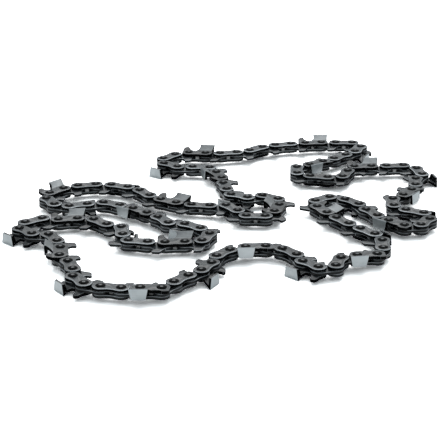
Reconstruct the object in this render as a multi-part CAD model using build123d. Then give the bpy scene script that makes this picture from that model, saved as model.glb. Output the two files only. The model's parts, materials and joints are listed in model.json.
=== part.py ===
from build123d import *
import math
import os

import numpy as np

# Driving dimensions in millimetres: the links
STRAP_PITCH = 10.15          # rivet to rivet in the straps and cutters
DRIVE_LINK_PITCH = 8.90      # rivet to rivet in the drive links; both make up twice three eighths of an inch
DRIVE_LINK_THICKNESS = 1.5   # width of the bar groove that the tangs run in
STRAP_THICKNESS = 1.75       # plate of the tie straps and of the cutters
SIDE_PLAY = 0.2              # how much wider the space between the straps is than a drive link
LINK_END_RADIUS = 4.1        # round ends of all links, about their rivets
DRIVE_LINK_WAIST = 3.8       # rivet line to the back of a drive link, half way along
STRAP_BACK_WAIST = 3.1       # rivet line to the outer edge of a strap, half way along
STRAP_FOOT_WAIST = 3.6       # rivet line to the rail edge of a strap, half way along
EDGE_BREAK = 0.25            # rounding of punched edges, cut as a chamfer

# Tang of a drive link, which runs in the bar groove
TANG_DEPTH = 9.2             # rivet line to the tip
TANG_HEEL = 2.0              # rear corner of the tip, ahead of the rear rivet
TANG_TOE = 6.2               # front corner of the tip, ahead of the rear rivet
TANG_HOOK = 0.7              # how far the front face is hollowed back under the toe
TANG_THROAT = 5.85           # rivet line to the deepest place of that hollow
TANG_CORNER_RADIUS = 1.0

# Rivets
RIVET_SHANK_RADIUS = 2.0     # in the straps
RIVET_HUB_RADIUS = 2.5       # in the drive links
RIVET_HEAD_RADIUS = 2.5
RIVET_HEAD_HEIGHT = 0.5
RIVET_FLAT_RADIUS = 0.9      # flat in the middle of each head, from which it slopes down all round
RIVET_RIM_HEIGHT = 0.1       # what is left of the head at its rim
SHANK_CLEARANCE = 0.01       # radial, rivet in a strap
HUB_CLEARANCE = 0.06         # radial, drive link on a rivet

# Cutters: a strap that leans outwards and folds over into a cutting plate
CUTTER_HEIGHT = 8.0          # rivet line to the outside of the cutting plate
HEEL_SLOPE = 40              # degrees round the rear end, where the flank of the cutting plate begins
TOE_SLOPE = 20               # degrees round the front end, where the flank of the depth gauge begins
CUTTER_LEAN = 2.7            # how far the fold stands past the face of the straps
LEAN_START = 3.6             # rivet line to the crease where the lean begins
FOLD_RADIUS = 0.4
CUTTING_PLATE_LENGTH = 9.3   # along the fold
CUTTING_PLATE_SETBACK = 0.5  # middle of the cutting plate, behind the rear rivet
CUTTING_PLATE_WIDTH = 6.2    # across the chain, from the fold to the free edge
CUTTING_PLATE_THICKNESS = 1.3
CUTTING_PLATE_TAPER = 1.2    # each end of the free edge stands back by this
GULLET_DEPTH = 3.3           # rivet line to the bottom of the gap before the depth gauge
GAUGE_HEIGHT = 6.7           # rivet line to the top of the depth gauge
GAUGE_LEAD = 0.2             # back of the depth gauge, ahead of the front rivet
GAUGE_LENGTH = 3.5           # along the chain
GAUGE_LEAN = 1.35            # lean of the depth gauge, taken at the height of the cutting plate

# The way the loop lies: rivets in each bend, and the degrees that the chain turns over that bend,
# to the left if positive, in order round the loop from a rivet of the front run
BENDS = [
    (1, -2), (1, 51), (2, -4), (2, 28), (1, -26), (2, -44), (3, -78), (1, 29), (2, 115),
    (1, -49), (1, -14), (1, 56), (3, 68), (4, -14), (1, -25), (2, -116), (2, -46), (3, 26),
    (4, 196), (1, -23), (2, -87), (3, 39), (1, -23), (3, 126), (2, -1), (1, 56), (1, 8),
    (1, -57), (2, -46), (2, -114), (4, 15), (1, 19), (2, 113), (4, 16), (2, 25), (3, -42),
    (1, -1), (2, 53), (3, 140), (1, -24), (1, -45), (2, -24), (2, 10), (2, 95), (2, -108),
    (2, -39), (2, -113), (1, 7), (1, 56), (5, -58), (6, 101), (4, 152), (1, -3), (1, -40),
    (4, -30), (1, 42), (2, -44), (2, -112), (3, -23), (1, -56), (1, -16), (1, 56), (1, -11),
    (2, 50), (1, -25), (4, 191), (1, -56), (2, -27), (1, 28), (2, -26), (2, 60), (2, 25),
]
START_HEADING = 1.6          # degrees from +X, before the first bend
CLOSING_ERROR = 1e-9         # how exactly the loop closes

# Parts of the loop that swing as parallelograms on four rivets, in order along the chain
SWINGS = {
    "middle_finger": (22, 24, 30, 32),
    "back_finger": (71, 73, 77, 79),
    "left_finger": (98, 101, 105, 109),
    "left_end": (126, 128, 132, 134),
}
CUTTER_PERIOD = 4            # links with straps from one upper cutter to the next

# Heights of the plates, from the middle of the chain
STRAP_INSIDE = (DRIVE_LINK_THICKNESS + SIDE_PLAY) / 2
STRAP_OUTSIDE = STRAP_INSIDE + STRAP_THICKNESS
FOLD_LEVEL = STRAP_OUTSIDE + CUTTER_LEAN
HEAD_LEVEL = STRAP_OUTSIDE + RIVET_HEAD_HEIGHT


def link_pitch(link):
    """Rivet to rivet of a link: links with an even number are straps and cutters, the others drive links."""
    return DRIVE_LINK_PITCH if link % 2 else STRAP_PITCH


def rivets_from_bends():
    """Lays the rivets out bend by bend, and then moves them as little as the loop needs to close."""
    heading = START_HEADING
    places = [np.zeros(2)]
    for count, turn in BENDS:
        for _ in range(count):
            heading += turn / count
            step = np.array([math.cos(math.radians(heading)), math.sin(math.radians(heading))])
            places.append(places[-1] + link_pitch(len(places) - 1) * step)
    return close_loop(np.array(places[:-1]))


def close_loop(places):
    """Gives every link its exact pitch, and each swing two equal and parallel sides."""
    total = len(places)
    error = STRAP_PITCH
    while error > CLOSING_ERROR:
        rows = []
        wanted = []
        for first in range(total):
            second = (first + 1) % total
            step = places[second] - places[first]
            length = np.hypot(*step)
            row = np.zeros((total, 2))
            row[second] = step / length
            row[first] = -step / length
            rows.append(row.ravel())
            wanted.append(link_pitch(first) - length)
        for near, far, far_return, near_return in SWINGS.values():
            offset = places[far] - places[near] - places[far_return] + places[near_return]
            for axis in range(2):
                row = np.zeros((total, 2))
                row[[far, near_return], axis] = 1
                row[[near, far_return], axis] = -1
                rows.append(row.ravel())
                wanted.append(-offset[axis])
        error = np.abs(wanted).max()
        places = places + np.linalg.lstsq(np.array(rows), np.array(wanted), rcond=None)[0].reshape(total, 2)
    return places


def rivet_holes(pitch, radius, bottom, top):
    """Cutters for the two holes of a link."""
    hole = extrude(Plane.XY.offset(bottom) * Circle(radius), top - bottom)
    return [hole, Pos(pitch, 0, 0) * hole]


def strap_holes():
    """The two holes of an upper strap or cutter."""
    return rivet_holes(STRAP_PITCH, RIVET_SHANK_RADIUS + SHANK_CLEARANCE, STRAP_INSIDE, STRAP_OUTSIDE)


def link_outline(pitch, back_waist, foot_waist):
    """Round ends about the two rivets, joined by hollow arcs along the back (-Y) and the foot (+Y)."""
    end = LINK_END_RADIUS
    back_x, back_y = waist_start(pitch, back_waist)
    foot_x, foot_y = waist_start(pitch, foot_waist)
    back = ThreePointArc((back_x, -back_y), (pitch / 2, -back_waist), (pitch - back_x, -back_y))
    front = ThreePointArc((pitch - back_x, -back_y), (pitch + end, 0), (pitch - foot_x, foot_y))
    foot = ThreePointArc((pitch - foot_x, foot_y), (pitch / 2, foot_waist), (foot_x, foot_y))
    rear = ThreePointArc((foot_x, foot_y), (-end, 0), (back_x, -back_y))
    return make_face([back, front, foot, rear])


def waist_start(pitch, waist):
    """Where a hollow arc that is this far from the rivet line half way along leaves the round end."""
    end = LINK_END_RADIUS
    hollow_radius = (pitch**2 / 4 + waist**2 - end**2) / (2 * (end - waist))
    share = end / (end + hollow_radius)
    return share * pitch / 2, share * (waist + hollow_radius)


def drive_link():
    """Middle plate with its tang, lying on the lower strap."""
    pitch = DRIVE_LINK_PITCH
    body = link_outline(pitch, DRIVE_LINK_WAIST, STRAP_FOOT_WAIST)
    root = LINK_END_RADIUS - EDGE_BREAK
    tang = Polygon(
        (0, 0), (pitch, 0), (pitch, root), (TANG_TOE + TANG_HOOK, root + TANG_HOOK),
        (TANG_TOE - TANG_HOOK, TANG_THROAT), (TANG_TOE, TANG_DEPTH), (TANG_HEEL, TANG_DEPTH),
        (-TANG_HOOK, root), align=None,
    )
    tip = [corner for corner in tang.vertices() if corner.Y > TANG_DEPTH - EDGE_BREAK]
    outline = body + fillet(tip, TANG_CORNER_RADIUS)
    plate = extrude(Plane.XY.offset(-STRAP_INSIDE) * outline, DRIVE_LINK_THICKNESS)
    return plate - rivet_holes(pitch, RIVET_HUB_RADIUS + HUB_CLEARANCE, -STRAP_INSIDE, STRAP_INSIDE)


def tie_strap():
    """Upper strap: its outer edge is broken, its holes hold the rivets."""
    outline = link_outline(STRAP_PITCH, STRAP_BACK_WAIST, STRAP_FOOT_WAIST)
    plate = extrude(Plane.XY.offset(STRAP_INSIDE) * outline, STRAP_THICKNESS)
    plate = chamfer(plate.faces().sort_by(Axis.Z)[-1].edges(), EDGE_BREAK)
    return plate - strap_holes()


def gullet_bottom():
    """Deepest place of the gap between the cutting plate and the depth gauge."""
    plate_front = CUTTING_PLATE_LENGTH / 2 - CUTTING_PLATE_SETBACK
    return (plate_front + STRAP_PITCH + GAUGE_LEAD) / 2, -GULLET_DEPTH


def cutter_outline():
    """Side plate seen along the rivets: heel, cutting plate, gullet and depth gauge."""
    end = LINK_END_RADIUS
    plate_rear = -CUTTING_PLATE_SETBACK - CUTTING_PLATE_LENGTH / 2
    plate_front = plate_rear + CUTTING_PLATE_LENGTH
    heel_slope = math.radians(HEEL_SLOPE)
    toe_slope = math.radians(TOE_SLOPE)
    heel = (-end * math.cos(heel_slope), -end * math.sin(heel_slope))
    toe = (STRAP_PITCH + end * math.cos(toe_slope), -end * math.sin(toe_slope))
    gauge_x = STRAP_PITCH + GAUGE_LEAD
    gauge_back = (gauge_x, -GAUGE_HEIGHT + EDGE_BREAK)
    gauge_top = (gauge_x + GAUGE_LENGTH / 2, -GAUGE_HEIGHT)
    gauge_front = (gauge_x + GAUGE_LENGTH, -GAUGE_HEIGHT + GAUGE_LENGTH / 2)
    return make_face([
        ThreePointArc((0, end), (-end, 0), heel),
        Line(heel, (plate_rear, -CUTTER_HEIGHT)),
        Line((plate_rear, -CUTTER_HEIGHT), (plate_front, -CUTTER_HEIGHT)),
        ThreePointArc((plate_front, -CUTTER_HEIGHT), gullet_bottom(), gauge_back),
        ThreePointArc(gauge_back, gauge_top, gauge_front),
        Line(gauge_front, toe),
        ThreePointArc(toe, (STRAP_PITCH + end, 0), (STRAP_PITCH, end)),
        ThreePointArc((STRAP_PITCH, end), (STRAP_PITCH / 2, STRAP_FOOT_WAIST), (0, end)),
    ])


def cutter():
    """Upper cutter: a leaning strip, folded over behind the gullet, stamped out and tapered at its plate."""
    low = FOLD_LEVEL - CUTTING_PLATE_WIDTH
    inner = CUTTING_PLATE_THICKNESS - CUTTER_HEIGHT
    rise = CUTTER_LEAN / (CUTTER_HEIGHT - LEAN_START)
    foot = [
        (-LEAN_START, STRAP_INSIDE), (LINK_END_RADIUS, STRAP_INSIDE),
        (LINK_END_RADIUS, STRAP_OUTSIDE), (-LEAN_START, STRAP_OUTSIDE),
    ]
    gauge = Polygon(
        *foot, (-CUTTER_HEIGHT, STRAP_OUTSIDE + GAUGE_LEAN),
        (-CUTTER_HEIGHT, STRAP_INSIDE + GAUGE_LEAN), align=None,
    )
    folded = Polygon(
        *foot, (-CUTTER_HEIGHT, FOLD_LEVEL), (-CUTTER_HEIGHT, low), (inner, low),
        (inner, STRAP_INSIDE + rise * (-inner - LEAN_START)), align=None,
    )
    fold = [corner for corner in folded.vertices() if corner.Y > FOLD_LEVEL - EDGE_BREAK]
    reach = CUTTING_PLATE_LENGTH + STRAP_PITCH
    gullet, _ = gullet_bottom()
    strip = extrude(Plane.YZ.offset(-reach) * fillet(fold, FOLD_RADIUS), reach + gullet)
    strip = strip + extrude(Plane.YZ.offset(gullet) * gauge, reach)
    stamped = strip & extrude(Plane.XY.offset(low) * cutter_outline(), CUTTING_PLATE_WIDTH)
    for side in (-1, 1):
        end = -CUTTING_PLATE_SETBACK + side * CUTTING_PLATE_LENGTH / 2
        wedge = Polygon((end, FOLD_LEVEL), (end, low), (end - side * CUTTING_PLATE_TAPER, low), align=None)
        stamped = stamped - extrude(Plane.XZ.offset(-inner) * wedge, CUTTING_PLATE_THICKNESS)
    return stamped - strap_holes()


def rivet():
    """Hub in the drive link, shanks in the straps, and a head that is hammered round on each side."""
    half = Polyline(
        (0, 0), (RIVET_HUB_RADIUS, 0), (RIVET_HUB_RADIUS, STRAP_INSIDE), (RIVET_SHANK_RADIUS, STRAP_INSIDE),
        (RIVET_SHANK_RADIUS, STRAP_OUTSIDE), (RIVET_HEAD_RADIUS, STRAP_OUTSIDE),
        (RIVET_HEAD_RADIUS, STRAP_OUTSIDE + RIVET_RIM_HEIGHT), (RIVET_FLAT_RADIUS, HEAD_LEVEL),
        (0, HEAD_LEVEL), close=True,
    )
    upper = revolve(Plane.XZ * make_face(half), Axis.Z)
    return upper + mirror(upper, about=Plane.XY)


def swing_sides():
    """Names each moving stretch of the loop, with its first and last rivet."""
    sides = {}
    for name, (near, far, far_return, near_return) in SWINGS.items():
        sides[f"{name}_first_side"] = (near, far)
        sides[f"{name}_tip"] = (far, far_return)
        sides[f"{name}_second_side"] = (far_return, near_return)
    return sides


def stretch_of(link):
    """The stretch of the loop that a link belongs to; links carry the number of their first rivet."""
    for name, (first, last) in swing_sides().items():
        if first <= link < last:
            return name
    return "main_run"


def chain_pieces(rivets):
    """Every piece of the chain in its place, grouped by stretch and kind."""
    upper_strap = tie_strap()
    upper_cutter = cutter()
    shapes = {
        "drive_link": drive_link(),
        "upper_strap": upper_strap,
        "lower_strap": mirror(upper_strap, about=Plane.XY),
        "upper_cutter": upper_cutter,
        "lower_cutter": mirror(upper_cutter, about=Plane.XY),
        "rivet": rivet(),
    }
    groups = {}
    for link, start in enumerate(rivets):
        step = rivets[(link + 1) % len(rivets)] - start
        place = Pos(*start, FOLD_LEVEL) * Rot(0, 0, math.degrees(math.atan2(step[1], step[0])))
        stretch = stretch_of(link)

        def add(kind, shape, at=place):
            groups.setdefault(f"{stretch}_{kind}", []).append(at * shapes[shape])

        if link % 2:
            add("drive_links", "drive_link")
            continue
        turn_in_pattern = (link // 2) % CUTTER_PERIOD
        for side, turn in (("upper", 0), ("lower", CUTTER_PERIOD // 2)):
            if turn_in_pattern == turn:
                add("cutters", f"{side}_cutter")
            else:
                add("tie_straps", f"{side}_strap")
        add("rivets", "rivet")
        add("rivets", "rivet", place * Pos(STRAP_PITCH, 0, 0))
    return groups


def main():
    os.makedirs("parts", exist_ok=True)
    groups = chain_pieces(rivets_from_bends())
    box = Compound([piece for pieces in groups.values() for piece in pieces]).bounding_box()
    centre = Pos(-box.center().X, -box.center().Y, -box.min.Z)
    for name, pieces in groups.items():
        node = Compound([centre * piece for piece in pieces], label=name)
        export_step(node, f"parts/{name}.step")


main()
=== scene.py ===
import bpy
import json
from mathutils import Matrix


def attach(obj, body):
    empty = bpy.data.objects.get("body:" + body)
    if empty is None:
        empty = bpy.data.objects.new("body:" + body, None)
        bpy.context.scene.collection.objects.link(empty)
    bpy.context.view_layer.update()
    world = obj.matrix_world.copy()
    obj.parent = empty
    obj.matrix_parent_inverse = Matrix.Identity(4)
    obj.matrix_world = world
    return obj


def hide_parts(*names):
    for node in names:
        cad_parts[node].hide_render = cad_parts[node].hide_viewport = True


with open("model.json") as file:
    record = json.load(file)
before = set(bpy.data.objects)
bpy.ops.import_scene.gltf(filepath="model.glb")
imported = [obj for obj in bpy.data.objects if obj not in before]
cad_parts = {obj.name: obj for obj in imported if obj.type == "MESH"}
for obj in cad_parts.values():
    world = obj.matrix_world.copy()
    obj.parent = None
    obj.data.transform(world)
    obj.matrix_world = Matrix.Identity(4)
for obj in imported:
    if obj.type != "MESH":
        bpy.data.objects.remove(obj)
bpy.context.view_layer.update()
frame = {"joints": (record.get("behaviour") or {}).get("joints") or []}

# %% [markdown]
# The photograph was taken with a long lens from a little above the table, looking straight away from the
# viewer. The lens, the height and the distance come from the places of the rivets in the picture, so the
# camera is placed by numbers, and not by eye.
# %% Camera
import json
import math
import random

import bpy
import numpy as np
from mathutils import Matrix, Vector

MM = 0.001
CAMERA_ELEVATION = math.radians(21.62)
CAMERA_DISTANCE = 716.8 * MM
CAMERA_TARGET = Vector((-6.0, -24.3, 8.0)) * MM
FOCAL_LENGTH = 110.9
SENSOR_WIDTH = 36
NEAR_CLIP = 10 * MM

camera = bpy.data.objects.new("camera", bpy.data.cameras.new("camera"))
bpy.context.collection.objects.link(camera)
camera.data.lens = FOCAL_LENGTH
camera.data.sensor_width = SENSOR_WIDTH
camera.data.clip_start = NEAR_CLIP
away = Vector((0, math.cos(CAMERA_ELEVATION), -math.sin(CAMERA_ELEVATION)))
camera.location = CAMERA_TARGET - CAMERA_DISTANCE * away
camera.rotation_euler = (math.pi / 2 - CAMERA_ELEVATION, 0, 0)
bpy.context.scene.camera = camera
print("camera at", [round(x, 4) for x in camera.location])

# %% [markdown]
# The chain lies on a white table in a bright, even studio. The table is a real surface, so the links throw
# their soft shadows on it; towards the viewer, and in mirror images, its white is lifted so that only the
# deep shadows stay. The Light Path node tells these rays apart, so the lamps needn't be brighter for it.
# %% Table
WHITE = 1.0
FLOOR_SIZE = 6.0
FLOOR_COLOR = 0.8
FLOOR_SEEN = 2.7


def node_of(tree, kind, **settings):
    """Adds a shader node and sets its unlinked sockets by name."""
    node = tree.nodes.new(kind)
    for socket, value in settings.items():
        node.inputs[socket.replace("_", " ")].default_value = value
    return node


def by_ray(tree, seen, mirrored, otherwise):
    """One value where the camera looks, one for mirrors and glass, and one for the light given off."""
    path = node_of(tree, "ShaderNodeLightPath")
    mirror_or_glass = node_of(tree, "ShaderNodeMath")
    mirror_or_glass.operation = "MAXIMUM"
    tree.links.new(path.outputs["Is Glossy Ray"], mirror_or_glass.inputs[0])
    tree.links.new(path.outputs["Is Transmission Ray"], mirror_or_glass.inputs[1])
    indirect = node_of(tree, "ShaderNodeMapRange", To_Min=otherwise, To_Max=mirrored)
    tree.links.new(mirror_or_glass.outputs[0], indirect.inputs["Value"])
    level = node_of(tree, "ShaderNodeMapRange", To_Max=seen)
    tree.links.new(path.outputs["Is Camera Ray"], level.inputs["Value"])
    tree.links.new(indirect.outputs["Result"], level.inputs["To Min"])
    return level.outputs["Result"]


bpy.context.scene.view_settings.view_transform = "Standard"
bpy.ops.object.select_all(action="DESELECT")
bpy.ops.mesh.primitive_plane_add(size=FLOOR_SIZE)
table = bpy.context.active_object
table.name = "table"
white = bpy.data.materials.new("white_table")
white.use_nodes = True
paint = white.node_tree
paint.nodes.remove(paint.nodes["Principled BSDF"])
chalk = node_of(paint, "ShaderNodeBsdfDiffuse")
paint.links.new(by_ray(paint, FLOOR_SEEN, WHITE, FLOOR_COLOR), chalk.inputs["Color"])
paint.links.new(chalk.outputs["BSDF"], paint.nodes["Material Output"].inputs["Surface"])
table.data.materials.append(white)
print(table.name, "size", list(table.dimensions))

# %% [markdown]
# The world lights the chain evenly from all sides, and looks white itself. One broad lamp stands over the
# far side: the upper faces of the plates mirror it towards the viewer, while the edges that face the viewer
# stay dark.
# %% Light
WORLD_COLOR = (0.93, 0.98, 1.0, 1)
WORLD_LIGHT = 0.6
LAMP_POWER = 6.5
LAMP_SIZE = 0.9
LAMP_PLACE = Vector((0.05, 0.45, 0.70))

world = bpy.data.worlds.new("studio")
bpy.context.scene.world = world
world.use_nodes = True
sky = world.node_tree
sky.nodes["Background"].inputs["Color"].default_value = WORLD_COLOR
sky.links.new(by_ray(sky, WHITE, WHITE, WORLD_LIGHT), sky.nodes["Background"].inputs["Strength"])

lamp = bpy.data.objects.new("lamp", bpy.data.lights.new("lamp", "AREA"))
bpy.context.collection.objects.link(lamp)
lamp.data.energy = LAMP_POWER
lamp.data.size = LAMP_SIZE
lamp.location = LAMP_PLACE
lamp.rotation_euler = (-LAMP_PLACE).to_track_quat("-Z", "Y").to_euler()
print("lamp at", list(lamp.location))

# %% [markdown]
# Links are punched from steel strip and blackened. The broad faces have a gloss that shows at a low angle,
# so they look grey. The drive links get a darker copy of that finish: painted shade from the straps over
# them. The punched sides carry painted shade: nearly black on the upper straps and cutters, and a lighter,
# glossier copy on the drive links and the lower straps, which is painted light from the white table. Rims
# are bright metal, partly wear from handling and partly a painted highlight. Only the cutting plates are
# plated, a pale satin grey, and the leaning faces that carry them keep a brushed look. The slopes of the
# rivet heads are painted black as shade. One recipe makes all of them: a soft cloud of tone over the
# surface, rolling marks that run along the link on its own UV map, a small shift of tone from link to link,
# and a faint relief.
# %% Steel recipe
CLOUD_SCALE = 260.0
CLOUD_DETAIL = 4.0
CLOUD_ROUGHNESS = 0.6
GRAIN_STRETCH = (90.0, 1400.0, 1.0)
GRAIN_DETAIL = 2.0
GRAIN_SHARE = 0.35
GRAIN_RELIEF = 0.01 * MM
DARK_UP_TO = 0.3
LIGHT_FROM = 0.7


def steel(name, dark, light, metallic, specular, rough, relief, rough_spread=0.06):
    """A steel finish between two tones, with rolling marks and a cloudy gloss."""
    material = bpy.data.materials.new(name)
    material.use_nodes = True
    tree = material.node_tree
    shader = tree.nodes["Principled BSDF"]
    shader.inputs["Metallic"].default_value = metallic
    shader.inputs["Specular IOR Level"].default_value = specular
    place = node_of(tree, "ShaderNodeTexCoord")
    cloud = node_of(
        tree, "ShaderNodeTexNoise", Scale=CLOUD_SCALE, Detail=CLOUD_DETAIL, Roughness=CLOUD_ROUGHNESS,
    )
    tree.links.new(place.outputs["Object"], cloud.inputs["Vector"])
    along = node_of(tree, "ShaderNodeMapping", Scale=GRAIN_STRETCH)
    tree.links.new(place.outputs["UV"], along.inputs["Vector"])
    grain = node_of(tree, "ShaderNodeTexNoise", Scale=1.0, Detail=GRAIN_DETAIL)
    tree.links.new(along.outputs["Vector"], grain.inputs["Vector"])
    tone = node_of(tree, "ShaderNodeAttribute")
    tone.attribute_name = "tone"
    mixed = node_of(tree, "ShaderNodeMix", Factor=GRAIN_SHARE)
    tree.links.new(cloud.outputs["Fac"], mixed.inputs["A"])
    tree.links.new(grain.outputs["Fac"], mixed.inputs["B"])
    shifted = node_of(tree, "ShaderNodeMath")
    shifted.operation = "ADD"
    tree.links.new(mixed.outputs["Result"], shifted.inputs[0])
    tree.links.new(tone.outputs["Fac"], shifted.inputs[1])
    ramp = node_of(tree, "ShaderNodeValToRGB")
    ramp.color_ramp.elements[0].position = DARK_UP_TO
    ramp.color_ramp.elements[0].color = (*dark, 1)
    ramp.color_ramp.elements[1].position = LIGHT_FROM
    ramp.color_ramp.elements[1].color = (*light, 1)
    tree.links.new(shifted.outputs[0], ramp.inputs["Fac"])
    tree.links.new(ramp.outputs["Color"], shader.inputs["Base Color"])
    gloss = node_of(tree, "ShaderNodeMapRange", To_Min=rough - rough_spread, To_Max=rough + rough_spread)
    tree.links.new(mixed.outputs["Result"], gloss.inputs["Value"])
    tree.links.new(gloss.outputs["Result"], shader.inputs["Roughness"])
    bump = node_of(tree, "ShaderNodeBump", Strength=relief, Distance=GRAIN_RELIEF)
    tree.links.new(grain.outputs["Fac"], bump.inputs["Height"])
    tree.links.new(bump.outputs["Normal"], shader.inputs["Normal"])
    return material


# %% [markdown]
# Each finish is the recipe with its own two tones, gloss and relief. The black ones aren't metallic: oxide
# covers the steel, and only its thin gloss mirrors the studio. The rim, plated and brushed ones show the
# metal itself; the rim one is partly wear and partly a painted highlight. The tones of the sides, the drive
# links and the rivet slopes are painted shade and light.
# %% Finishes
blackened = steel(
    "blackened_plate", dark=(0.009, 0.0107, 0.0122), light=(0.036, 0.0415, 0.0465),
    metallic=0.0, specular=0.25, rough=0.20, relief=0.3,
)
# Painted shade: the drive links get a darker, less glossy copy of the plate finish for the straps' shade.
drive_link_shade = steel(
    "drive_link_painted_shade", dark=(0.010, 0.0117, 0.0131), light=(0.032, 0.0365, 0.040),
    metallic=0.0, specular=0.20, rough=0.24, relief=0.3,
)
# Painted shade: the upper sides are made nearly black for the shade they stand in.
shaded_side = steel(
    "side_painted_shade", dark=(0.0006, 0.0007, 0.0008), light=(0.002, 0.0023, 0.0026),
    metallic=0.0, specular=0.02, rough=0.24, relief=0.3,
)
# Painted light: a lighter, glossier copy of the side finish for the table's light on the lower sides.
lit_side = steel(
    "side_painted_light", dark=(0.004, 0.0047, 0.0053), light=(0.018, 0.0208, 0.0232),
    metallic=0.0, specular=0.17, rough=0.30, relief=0.3,
)
# Partly wear, partly painted highlight: bright metal on the rims for handling and for the light they catch.
rim_wear_and_highlight = steel(
    "rim_wear_and_painted_highlight", dark=(0.15, 0.166, 0.178), light=(0.31, 0.335, 0.352),
    metallic=0.85, specular=0.50, rough=0.30, relief=0.2,
)
plated = steel(
    "plated_cutting_plate", dark=(0.38, 0.415, 0.43), light=(0.48, 0.515, 0.53),
    metallic=0.9, specular=0.50, rough=0.42, relief=0.4,
)
brushed = steel(
    "brushed_cutter", dark=(0.07, 0.078, 0.082), light=(0.15, 0.162, 0.168),
    metallic=0.5, specular=0.50, rough=0.34, relief=0.5,
)
# Painted shade: the slopes of the rivet heads are made black for the shade around each head.
rivet_slope_shade = steel(
    "rivet_painted_shade", dark=(0.0008, 0.0009, 0.001), light=(0.0025, 0.0028, 0.003),
    metallic=0.0, specular=0.015, rough=0.42, relief=0.2, rough_spread=0.08,
)
finishes = (blackened, drive_link_shade, shaded_side, lit_side, rim_wear_and_highlight, plated, brushed, rivet_slope_shade)
print("finishes", [finish.name for finish in finishes])

# %% [markdown]
# The loop is 144 rivets that lie in loose folds. Straps and drive links take turns, and the straps are a
# little longer. It is described as a person would bend it: so many links turning so many degrees, then the
# next bend. The numbers were fitted to the rivets in the photograph and rounded to whole degrees. Four of
# the folds can swing, each on the four rivets that are listed for it.
# %% Bends
START_HEADING = 1.6
BENDS = [
    (1, -2), (1, 51), (2, -4), (2, 28), (1, -26), (2, -44), (3, -78), (1, 29), (2, 115),
    (1, -49), (1, -14), (1, 56), (3, 68), (4, -14), (1, -25), (2, -116), (2, -46), (3, 26),
    (4, 196), (1, -23), (2, -87), (3, 39), (1, -23), (3, 126), (2, -1), (1, 56), (1, 8),
    (1, -57), (2, -46), (2, -114), (4, 15), (1, 19), (2, 113), (4, 16), (2, 25), (3, -42),
    (1, -1), (2, 53), (3, 140), (1, -24), (1, -45), (2, -24), (2, 10), (2, 95), (2, -108),
    (2, -39), (2, -113), (1, 7), (1, 56), (5, -58), (6, 101), (4, 152), (1, -3), (1, -40),
    (4, -30), (1, 42), (2, -44), (2, -112), (3, -23), (1, -56), (1, -16), (1, 56), (1, -11),
    (2, 50), (1, -25), (4, 191), (1, -56), (2, -27), (1, 28), (2, -26), (2, 60), (2, 25),
]
SWINGS = {
    "middle_finger": (22, 24, 30, 32),
    "back_finger": (71, 73, 77, 79),
    "left_finger": (98, 101, 105, 109),
    "left_end": (126, 128, 132, 134),
}
print("bends", len(BENDS), "rivets", sum(count for count, _ in BENDS))

# %% [markdown]
# A chain that is laid link by link doesn't quite meet its own start. The ends are brought together by the
# smallest moves of the rivets that keep every link its length, and the two sides of every swing equal and
# parallel. Least squares finds these moves, and a few rounds of it are enough.
# %% Closing the loop
STRAP_PITCH = 10.15
DRIVE_LINK_PITCH = 8.90
CLOSING_ERROR = 1e-9


def link_pitch(link):
    """Rivet to rivet of a link: even numbers are straps and cutters, odd numbers drive links."""
    return DRIVE_LINK_PITCH if link % 2 else STRAP_PITCH


def lay_rivets():
    """Rivet places in millimetres, from the bends."""
    heading = START_HEADING
    places = [np.zeros(2)]
    for count, turn in BENDS:
        for _ in range(count):
            heading += turn / count
            step = np.array([math.cos(math.radians(heading)), math.sin(math.radians(heading))])
            places.append(places[-1] + link_pitch(len(places) - 1) * step)
    return close_loop(np.array(places[:-1]))


def close_loop(places):
    """Moves the rivets as little as possible until every link and every swing is exact."""
    total = len(places)
    error = STRAP_PITCH
    while error > CLOSING_ERROR:
        rows = []
        wanted = []
        for first in range(total):
            second = (first + 1) % total
            step = places[second] - places[first]
            length = np.hypot(*step)
            row = np.zeros((total, 2))
            row[second] = step / length
            row[first] = -step / length
            rows.append(row.ravel())
            wanted.append(link_pitch(first) - length)
        for near, far, far_return, near_return in SWINGS.values():
            offset = places[far] - places[near] - places[far_return] + places[near_return]
            for axis in range(2):
                row = np.zeros((total, 2))
                row[[far, near_return], axis] = 1
                row[[near, far_return], axis] = -1
                rows.append(row.ravel())
                wanted.append(-offset[axis])
        error = np.abs(wanted).max()
        moves = np.linalg.lstsq(np.array(rows), np.array(wanted), rcond=None)[0]
        places = places + moves.reshape(total, 2)
    return places


rivets = lay_rivets()
print("box of the rivets, mm", np.ptp(rivets, axis=0))

# %% [markdown]
# The layout repeats the frame's own. One hinge of the frame gives the loop its place, and the return rivets
# of the swings prove that it fits.
# %% Rivet places
hinges = {joint["name"]: np.array(joint["pos_m"]) / MM for joint in frame["joints"]}
first_hinge = hinges["middle_finger_root_rivet"]
rivets = rivets + first_hinge[:2] - rivets[SWINGS["middle_finger"][0]]
middle_height = first_hinge[2]
misses = [
    np.hypot(*(hinges[f"{name}_return_rivet"][:2] - rivets[far_return]))
    for name, (_, _, far_return, _) in SWINGS.items()
]
print("rivets", len(rivets), "largest miss at a hinge, mm", max(misses))

# %% [markdown]
# Every plate starts as an outline. By hand one would place a single vertex, pull it along the outline with
# extrude, close the ring with a face and give it thickness with one more extrude. The helpers here do just
# that, and round corners are pulled through a few points of an arc.
# %% Outline helpers
ARC_STEP = math.radians(22)


def arc(center, radius, start, end):
    """Points along an arc, from one angle to another in degrees."""
    start, end = math.radians(start), math.radians(end)
    count = max(2, math.ceil(abs(end - start) / ARC_STEP))
    angles = [start + (end - start) * k / count for k in range(count + 1)]
    return [(center[0] + radius * math.cos(a), center[1] + radius * math.sin(a)) for a in angles]


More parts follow.
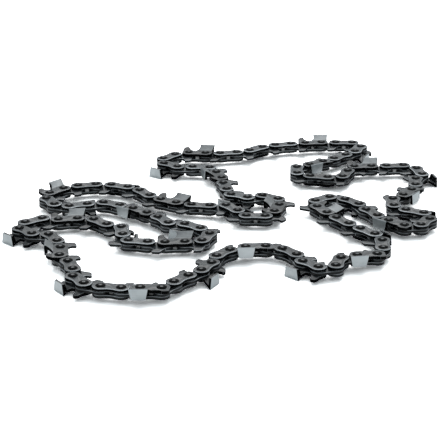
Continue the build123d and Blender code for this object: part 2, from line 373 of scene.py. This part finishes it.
def pull_vertex(name, points):
    """A new piece that is one vertex, pulled along points in millimetres, and left in edit mode."""
    points = [Vector(p) * MM for p in points]
    bpy.ops.object.select_all(action="DESELECT")
    bpy.ops.mesh.primitive_plane_add(size=MM)
    piece = bpy.context.active_object
    piece.name = name
    bpy.ops.object.mode_set(mode="EDIT")
    bpy.ops.mesh.select_all(action="SELECT")
    bpy.ops.mesh.merge(type="CENTER")
    bpy.ops.transform.translate(value=points[0])
    for here, there in zip(points, points[1:]):
        bpy.ops.mesh.extrude_region_move(TRANSFORM_OT_translate={"value": there - here})
    bpy.ops.mesh.select_all(action="SELECT")
    return piece


def trace(name, points, depth):
    """Pulls a vertex along an outline, fills it, and extrudes the face by depth, all in millimetres."""
    piece = pull_vertex(name, points)
    bpy.ops.mesh.edge_face_add()
    bpy.ops.mesh.extrude_region_move(TRANSFORM_OT_translate={"value": Vector(depth) * MM})
    bpy.ops.mesh.select_all(action="SELECT")
    bpy.ops.mesh.normals_make_consistent(inside=False)
    bpy.ops.object.mode_set(mode="OBJECT")
    return piece


# %% [markdown]
# Holes and stamped shapes are cut with Boolean modifiers. By hand one would add the modifier, point it at
# the tool, apply it and delete the tool; this does the same. A tool that stands out past the piece on all
# sides leaves no thin skin behind.
# %% Cutting helpers
CUT_MARGIN = 1.0
HOLE_STEPS = 20


def apply_modifier(piece, kind, **settings):
    """Adds a modifier to a piece, sets it up and applies it."""
    bpy.ops.object.select_all(action="DESELECT")
    piece.select_set(True)
    bpy.context.view_layer.objects.active = piece
    modifier = piece.modifiers.new(kind.lower(), kind)
    for setting, value in settings.items():
        setattr(modifier, setting, value)
    bpy.ops.object.modifier_apply(modifier=modifier.name)


def carve(piece, tool, operation="DIFFERENCE"):
    """Cuts a piece with a tool, which is used up."""
    apply_modifier(piece, "BOOLEAN", object=tool, operation=operation, solver="EXACT")
    bpy.data.objects.remove(tool)


def drill(piece, pitch, radius, bottom, top):
    """Two rivet holes through a link, cut by drills that stand out a little on both sides."""
    for x in (0, pitch):
        bpy.ops.object.select_all(action="DESELECT")
        bpy.ops.mesh.primitive_cylinder_add(
            vertices=HOLE_STEPS, radius=radius * MM, depth=(top - bottom + 2 * CUT_MARGIN) * MM,
            location=Vector((x, 0, (top + bottom) / 2)) * MM,
        )
        carve(piece, bpy.context.active_object)


# %% [markdown]
# A punched plate has three kinds of surface: the broad faces, the sides and the rims between them. By hand
# one would select each kind and assign its material; here a face's normal says which it is, and the bevel
# that breaks the edges gives its own faces the rim's finish. The UV map is projected from the six sides of
# a cube, so rolling marks run along the link. The lower row of plates is the mirror image of the upper one.
# %% Finishing helpers
FACE, EDGE, SIDE = range(3)
SIDE_NORMAL = 0.3
PUNCHED_ANGLE = math.radians(40)
SMOOTH_ANGLE = math.radians(50)
RIM_SEGMENTS = 2
UV_CUBE = 1.0


def dress(piece, edge_width, face_finish, side_finish):
    """Gives plate faces and sides their finishes, breaks the edges, and lays a UV map along the link."""
    piece.data.materials.clear()
    for finish in (face_finish, rim_wear_and_highlight, side_finish):
        piece.data.materials.append(finish)
    for face in piece.data.polygons:
        face.material_index = SIDE if abs(face.normal.z) < SIDE_NORMAL else FACE
    # The bevel faces get the bright rim finish: partly wear, partly a painted highlight.
    apply_modifier(
        piece, "BEVEL", width=edge_width * MM, segments=RIM_SEGMENTS, limit_method="ANGLE",
        angle_limit=PUNCHED_ANGLE, material=EDGE,
    )
    bpy.ops.object.mode_set(mode="EDIT")
    bpy.ops.mesh.select_all(action="SELECT")
    bpy.ops.uv.cube_project(cube_size=UV_CUBE)
    bpy.ops.object.mode_set(mode="OBJECT")
    bpy.ops.object.shade_smooth_by_angle(angle=SMOOTH_ANGLE)
    print(piece.name, "faces", len(piece.data.polygons))


def turned_over(piece, name):
    """The same link for the lower row of plates: a mirror image with its faces turned outwards again."""
    lower = piece.copy()
    lower.data = piece.data.copy()
    lower.name = name
    bpy.context.collection.objects.link(lower)
    lower.data.transform(Matrix.Diagonal((1, 1, -1, 1)))
    lower.data.flip_normals()
    return lower


# %% [markdown]
# A tie strap is the plain outer plate. Its ends are round about the two rivets and its waist is hollowed on
# both sides, a little more on the back than on the foot that slides along the bar. The broken rim of the
# upper face gets the bright rim finish all round, partly wear and partly a painted highlight of the light
# it catches. Heights are counted from the middle of the chain, and the two straps of a link leave room for
# a drive link and its play between them.
# %% Tie strap
LINK_END_RADIUS = 4.1
STRAP_BACK_WAIST = 3.1
STRAP_FOOT_WAIST = 3.6
STRAP_THICKNESS = 1.75
DRIVE_LINK_THICKNESS = 1.5
SIDE_PLAY = 0.2
STRAP_INSIDE = (DRIVE_LINK_THICKNESS + SIDE_PLAY) / 2
STRAP_OUTSIDE = STRAP_INSIDE + STRAP_THICKNESS
STRAP_RIM = 0.25
SHANK_RADIUS = 2.0


def hollow_side(pitch, waist):
    """Hollow arc between the round ends: its radius, and the angle at which it leaves an end."""
    end = LINK_END_RADIUS
    radius = (pitch**2 / 4 + waist**2 - end**2) / (2 * (end - waist))
    return radius, math.degrees(math.atan2(waist + radius, pitch / 2))


def back_of_link(pitch, waist):
    """The hollow back of a link, from rear end to front end, and the angle at which it leaves them."""
    radius, leave = hollow_side(pitch, waist)
    spread = 90 - leave
    return arc((pitch / 2, -waist - radius), radius, 90 + spread, 90 - spread), leave


def strap_outline():
    """Back, front end, foot and rear end of a tie strap."""
    hollow, leave = back_of_link(STRAP_PITCH, STRAP_BACK_WAIST)
    radius, foot_leave = hollow_side(STRAP_PITCH, STRAP_FOOT_WAIST)
    spread = 90 - foot_leave
    foot = arc((STRAP_PITCH / 2, STRAP_FOOT_WAIST + radius), radius, -90 + spread, -90 - spread)
    front = arc((STRAP_PITCH, 0), LINK_END_RADIUS, leave - 180, 180 - foot_leave)
    rear = arc((0, 0), LINK_END_RADIUS, foot_leave, 360 - leave)
    return hollow[:-1] + front + foot[1:-1] + rear[:-1]


upper_strap = trace("upper_strap", [(x, y, STRAP_INSIDE) for x, y in strap_outline()],
                    (0, 0, STRAP_THICKNESS))
drill(upper_strap, STRAP_PITCH, SHANK_RADIUS, STRAP_INSIDE, STRAP_OUTSIDE)
# Painted shade on the sides of the upper straps.
dress(upper_strap, STRAP_RIM, blackened, shaded_side)
lower_strap = turned_over(upper_strap, "lower_strap")
# Painted light: the lower straps get the lighter side finish for the table's light.
lower_strap.data.materials[SIDE] = lit_side

# %% [markdown]
# A drive link is the middle plate. Its tang runs in the groove of the bar and is hooked in front, so that
# it scoops oil along. The tang is part of the same outline: the front end runs into the hook, round the two
# corners of the tip and down the slope at the rear.
# %% Drive link
DRIVE_LINK_WAIST = 3.8
DRIVE_LINK_EDGE = 0.15
HUB_RADIUS = 2.5
HUB_CLEARANCE = 0.06
TANG_DEPTH = 9.2
TANG_CORNER = 1.0
TANG_TOE_X = 4.97
TANG_HEEL_X = 2.62
TANG_THROAT = (5.5, 5.85)
TANG_MEETS_END = 99
TOE_LEAN = 12
HEEL_LEAN = 27


def arc_through(a, b, c):
    """Points along the arc from a through b to c."""
    a, b, c = (complex(*p) for p in (a, b, c))
    w = (c - a) / (b - a)
    center = a + (b - a) * (w - abs(w) ** 2) / (2j * w.imag)
    start, middle, end = (math.degrees(math.atan2((p - center).imag, (p - center).real)) for p in (a, b, c))
    turn = (end - start) % 360
    if (middle - start) % 360 > turn:
        turn -= 360
    return arc((center.real, center.imag), abs(a - center), start, start + turn)


def drive_link_outline():
    """Back, front end, hook, tip of the tang and rear end."""
    pitch = DRIVE_LINK_PITCH
    corner_height = TANG_DEPTH - TANG_CORNER
    hollow, leave = back_of_link(pitch, DRIVE_LINK_WAIST)
    front = arc((pitch, 0), LINK_END_RADIUS, leave - 180, TANG_MEETS_END)
    toe = arc((TANG_TOE_X, corner_height), TANG_CORNER, -TOE_LEAN, 90)
    heel = arc((TANG_HEEL_X, corner_height), TANG_CORNER, 90, 180 - HEEL_LEAN)
    hook = arc_through(front[-1], TANG_THROAT, toe[0])
    rear = arc((0, 0), LINK_END_RADIUS, TANG_MEETS_END, 360 - leave)
    return hollow[:-1] + front[:-1] + hook[:-1] + toe + heel + rear[:-1]


drive_link = trace("drive_link", [(x, y, -STRAP_INSIDE) for x, y in drive_link_outline()],
                   (0, 0, DRIVE_LINK_THICKNESS))
drill(drive_link, DRIVE_LINK_PITCH, HUB_RADIUS + HUB_CLEARANCE, -STRAP_INSIDE, STRAP_INSIDE)
# Painted shade on the drive link faces, painted light on their sides.
dress(drive_link, DRIVE_LINK_EDGE, drive_link_shade, lit_side)

# %% [markdown]
# A cutter is a strap that leans outwards and folds over into the cutting plate. In the factory it is
# punched flat and then bent, but a bent strip that is stamped afterwards gives the same shape and keeps the
# fold crisp: the strip is traced end on, the side view is traced as a stamp, and the two are intersected.
# The depth gauge leans less and has no fold, so it has a strip of its own, joined on at the bottom of the
# gullet. The side view comes first: heel, cutting plate, gullet and depth gauge stand out from the back of
# a strap.
# %% Cutter side view
CUTTER_HEIGHT = 8.0
HEEL_SLOPE = 40
TOE_SLOPE = 20
PLATE_LENGTH = 9.3
PLATE_SETBACK = 0.5
GULLET_DEPTH = 3.3
GAUGE_HEIGHT = 6.7
GAUGE_LEAD = 0.2
GAUGE_LENGTH = 3.5
GAUGE_CORNER = 0.25
plate_rear = -PLATE_SETBACK - PLATE_LENGTH / 2
plate_front = plate_rear + PLATE_LENGTH
gauge_x = STRAP_PITCH + GAUGE_LEAD
gullet = ((plate_front + gauge_x) / 2, -GULLET_DEPTH)


def end_point(pitch, slope):
    """A point of a round end, so many degrees from the rivet line towards the back."""
    slope = math.radians(slope)
    return pitch + LINK_END_RADIUS * math.cos(slope), -LINK_END_RADIUS * math.sin(slope)


def cutter_outline():
    """Side view: rear end, heel, cutting plate, gullet, depth gauge, front end and foot."""
    end = LINK_END_RADIUS
    gauge_back = (gauge_x, -GAUGE_HEIGHT + GAUGE_CORNER)
    gauge_top = (gauge_x + GAUGE_LENGTH / 2, -GAUGE_HEIGHT)
    gauge_front = (gauge_x + GAUGE_LENGTH, -GAUGE_HEIGHT + GAUGE_LENGTH / 2)
    foot = arc_through((STRAP_PITCH, end), (STRAP_PITCH / 2, STRAP_FOOT_WAIST), (0, end))
    return (
        arc_through((0, end), (-end, 0), end_point(0, 180 - HEEL_SLOPE))
        + [(plate_rear, -CUTTER_HEIGHT)]
        + arc_through((plate_front, -CUTTER_HEIGHT), gullet, gauge_back)
        + arc_through(gauge_back, gauge_top, gauge_front)[1:]
        + arc_through(end_point(STRAP_PITCH, TOE_SLOPE), (STRAP_PITCH + end, 0), (STRAP_PITCH, end))
        + foot[1:-1]
    )


print("gullet at", gullet, "points in the side view", len(cutter_outline()))

# %% [markdown]
# The strips are seen end on: a foot that lies over the drive link, a crease where the lean begins, and the
# fold. The arc of the fold touches both the leaning face and the cutting plate, so its centre follows from
# its radius and the lean. Boolean modifiers do the stamping, and two wedges taper the ends of the cutting
# plate.
# %% Cutter strips and stamp
CUTTER_LEAN = 2.7
LEAN_START = 3.6
FOLD_RADIUS = 0.4
PLATE_WIDTH = 6.2
PLATE_THICKNESS = 1.3
PLATE_TAPER = 1.2
GAUGE_LEAN = 1.35
fold_level = STRAP_OUTSIDE + CUTTER_LEAN
free_edge = fold_level - PLATE_WIDTH
plate_inside = PLATE_THICKNESS - CUTTER_HEIGHT
rise = CUTTER_LEAN / (CUTTER_HEIGHT - LEAN_START)
lean = math.degrees(math.atan(rise))
fold_back = FOLD_RADIUS / math.tan(math.radians((90 - lean) / 2))
fold_center = (-CUTTER_HEIGHT + FOLD_RADIUS, fold_level - fold_back)
fold = arc(fold_center, FOLD_RADIUS, 90 - lean, 180)
foot_profile = [
    (-LEAN_START, STRAP_INSIDE), (LINK_END_RADIUS + CUT_MARGIN, STRAP_INSIDE),
    (LINK_END_RADIUS + CUT_MARGIN, STRAP_OUTSIDE), (-LEAN_START, STRAP_OUTSIDE),
]
plate_profile = foot_profile + [
    *fold, (-CUTTER_HEIGHT, free_edge), (plate_inside, free_edge),
    (plate_inside, STRAP_INSIDE + rise * (-plate_inside - LEAN_START)),
]
gauge_profile = foot_profile + [
    (-CUTTER_HEIGHT, STRAP_OUTSIDE + GAUGE_LEAN), (-CUTTER_HEIGHT, STRAP_INSIDE + GAUGE_LEAN),
]
strip_length = 2 * STRAP_PITCH
upper_cutter = trace("upper_cutter", [(gullet[0], y, z) for y, z in plate_profile], (-strip_length, 0, 0))
gauge_strip = trace("gauge", [(gullet[0], y, z) for y, z in gauge_profile], (strip_length, 0, 0))
carve(upper_cutter, gauge_strip, "UNION")
stamp_bottom = free_edge - CUT_MARGIN
stamp = trace("stamp", [(x, y, stamp_bottom) for x, y in cutter_outline()],
              (0, 0, PLATE_WIDTH + 2 * CUT_MARGIN))
carve(upper_cutter, stamp, "INTERSECT")
for end, side in ((plate_front, 1), (plate_rear, -1)):
    outside = end + side * CUT_MARGIN
    tapered = end - side * PLATE_TAPER
    wedge_outline = [
        (outside, fold_level), (end, fold_level), (tapered, free_edge),
        (tapered, free_edge - CUT_MARGIN), (outside, free_edge - CUT_MARGIN),
    ]
    wedge = trace("wedge", [(x, -CUTTER_HEIGHT - CUT_MARGIN, z) for x, z in wedge_outline],
                  (0, PLATE_THICKNESS + CUT_MARGIN, 0))
    carve(upper_cutter, wedge)
print("fold at", fold_level, "free edge at", free_edge)

# %% [markdown]
# A cutter gets its holes, and the finishes of a strap to begin with, so its sides carry painted shade. Then
# the outside of the cutting plate is plated, the leaning face under it is brushed, and the depth gauge
# takes the finish of the drive link sides.
# %% Cutter holes and finishes
CUTTER_EDGE = 0.14
LEAN_NORMAL = 0.5
PLATED, BRUSHED, GAUGE = range(3, 6)

drill(upper_cutter, STRAP_PITCH, SHANK_RADIUS, STRAP_INSIDE, STRAP_OUTSIDE)
# Painted shade on the cutter's sides.
dress(upper_cutter, CUTTER_EDGE, blackened, shaded_side)
for finish in (plated, brushed, lit_side):
    upper_cutter.data.materials.append(finish)
for face in upper_cutter.data.polygons:
    if face.center.y < (CUTTER_EDGE - CUTTER_HEIGHT) * MM:
        face.material_index = PLATED
    elif face.center.y < -LEAN_START * MM and face.normal.z > LEAN_NORMAL:
        face.material_index = BRUSHED if face.center.x < gullet[0] * MM else GAUGE
lower_cutter = turned_over(upper_cutter, "lower_cutter")

# %% [markdown]
# A rivet has a thick hub in the drive link, thinner shanks in the straps and a hammered head on each side:
# a small flat that slopes down all round. The flat has the finish of the plates, and the slope is painted
# black as shade.
# Anything turned is made with spin, from half a profile pulled out of one vertex. The angle of the bevel
# lies between the turn from facet to facet and the slope of the head, so it breaks the rims and leaves the
# round sides alone.
# %% Rivet
HEAD_RADIUS = 2.5
HEAD_HEIGHT = 0.5
HEAD_RIM = 0.1
FLAT_RADIUS = 0.9
FLAT_NORMAL = 0.999
SPIN_STEPS = 28
HEAD_BEVEL_ANGLE = math.radians(13.5)
HEAD_SMOOTH_ANGLE = math.radians(40)
MERGE_DISTANCE = 0.001 * MM
head_level = STRAP_OUTSIDE + HEAD_HEIGHT

half_profile = [
    (0, head_level), (FLAT_RADIUS, head_level), (HEAD_RADIUS, STRAP_OUTSIDE + HEAD_RIM),
    (HEAD_RADIUS, STRAP_OUTSIDE), (SHANK_RADIUS, STRAP_OUTSIDE), (SHANK_RADIUS, STRAP_INSIDE),
    (HUB_RADIUS, STRAP_INSIDE),
]
profile = half_profile + [(r, -z) for r, z in reversed(half_profile)]
rivet = pull_vertex("rivet", [(r, 0, z) for r, z in profile])
bpy.ops.mesh.spin(steps=SPIN_STEPS, angle=2 * math.pi, center=(0, 0, 0), axis=(0, 0, 1))
bpy.ops.mesh.select_all(action="SELECT")
bpy.ops.mesh.remove_doubles(threshold=MERGE_DISTANCE)
bpy.ops.mesh.normals_make_consistent(inside=False)
bpy.ops.uv.cube_project(cube_size=UV_CUBE)
bpy.ops.object.mode_set(mode="OBJECT")
rivet.data.materials.append(rivet_slope_shade)
rivet.data.materials.append(blackened)
# Painted shade: the slopes of the heads get the black finish, and only the flat keeps the plate finish.
for face in rivet.data.polygons:
    face.material_index = int(abs(face.normal.z) > FLAT_NORMAL)
apply_modifier(
    rivet, "BEVEL", width=HEAD_RIM / 2 * MM, segments=1, limit_method="ANGLE",
    angle_limit=HEAD_BEVEL_ANGLE,
)
bpy.ops.object.shade_smooth_by_angle(angle=HEAD_SMOOTH_ANGLE)
print(rivet.name, "faces", len(rivet.data.polygons))

# %% [markdown]
# A link needs three things before it is copied: the stretch of the loop that it moves with, its place, and
# a tone of its own, because no two links come out of the blackening bath alike. The place is a matrix that
# is applied to the mesh, so the object itself stays at the origin.
# %% Places and copies
TONE_SPREAD = 0.22
TONE_SEED = 7
tones = random.Random(TONE_SEED)


def stretch_of(link):
    """The stretch of the loop that a link moves with."""
    for name, (near, far, far_return, near_return) in SWINGS.items():
        for part, first, last in (("first_side", near, far), ("tip", far, far_return),
                                  ("second_side", far_return, near_return)):
            if first <= link < last:
                return f"{name}_{part}"
    return "main_run"


def link_place(link):
    """Puts a link's first rivet in its place and turns it towards the next."""
    x, y = rivets[link]
    next_x, next_y = rivets[(link + 1) % len(rivets)]
    turn = Matrix.Rotation(math.atan2(next_y - y, next_x - x), 4, "Z")
    return Matrix.Translation(Vector((x, y, middle_height)) * MM) @ turn


def copy_of(model, place):
    """A copy of a link with its own mesh, in its place, a little lighter or darker than the rest."""
    link = model.copy()
    link.data = model.data.copy()
    bpy.context.collection.objects.link(link)
    link.data.transform(place)
    shift = tones.uniform(-TONE_SPREAD, TONE_SPREAD)
    tone = link.data.attributes.new("tone", "FLOAT", "POINT")
    tone.data.foreach_set("value", [shift] * len(link.data.vertices))
    return link


# %% [markdown]
# Now the links go to their places. Links with an even number are pairs of outer plates with their two
# rivets, and those with an odd number are drive links. Cutters take turns in the upper and the lower row.
# All links of one kind on one moving stretch become one piece, which rides on that stretch and stands for
# its plain solids.
# %% Chain
CUTTER_PERIOD = 4
ROWS = ((upper_cutter, upper_strap, 0), (lower_cutter, lower_strap, CUTTER_PERIOD // 2))
groups = {}


def add_link(link, kind, model, place):
    """Adds a copy of a model to the links of its kind on its stretch."""
    groups.setdefault((stretch_of(link), kind), []).append(copy_of(model, place))


for link in range(len(rivets)):
    place = link_place(link)
    if link % 2:
        add_link(link, "drive_links", drive_link, place)
        continue
    turn = (link // 2) % CUTTER_PERIOD
    for cutter, strap, cutter_turn in ROWS:
        if turn == cutter_turn:
            add_link(link, "cutters", cutter, place)
        else:
            add_link(link, "tie_straps", strap, place)
    for x in (0, STRAP_PITCH):
        add_link(link, "rivets", rivet, place @ Matrix.Translation((x * MM, 0, 0)))

for (stretch, kind), links in groups.items():
    bpy.ops.object.select_all(action="DESELECT")
    for link in links:
        link.select_set(True)
    piece = links[0]
    bpy.context.view_layer.objects.active = piece
    if len(links) > 1:
        bpy.ops.object.join()
    piece.name = f"finished_{stretch}_{kind}"
    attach(piece, stretch)
    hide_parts(f"{stretch}_{kind}")
for model in (upper_strap, lower_strap, drive_link, upper_cutter, lower_cutter, rivet):
    bpy.data.objects.remove(model)
print("pieces", len(groups))
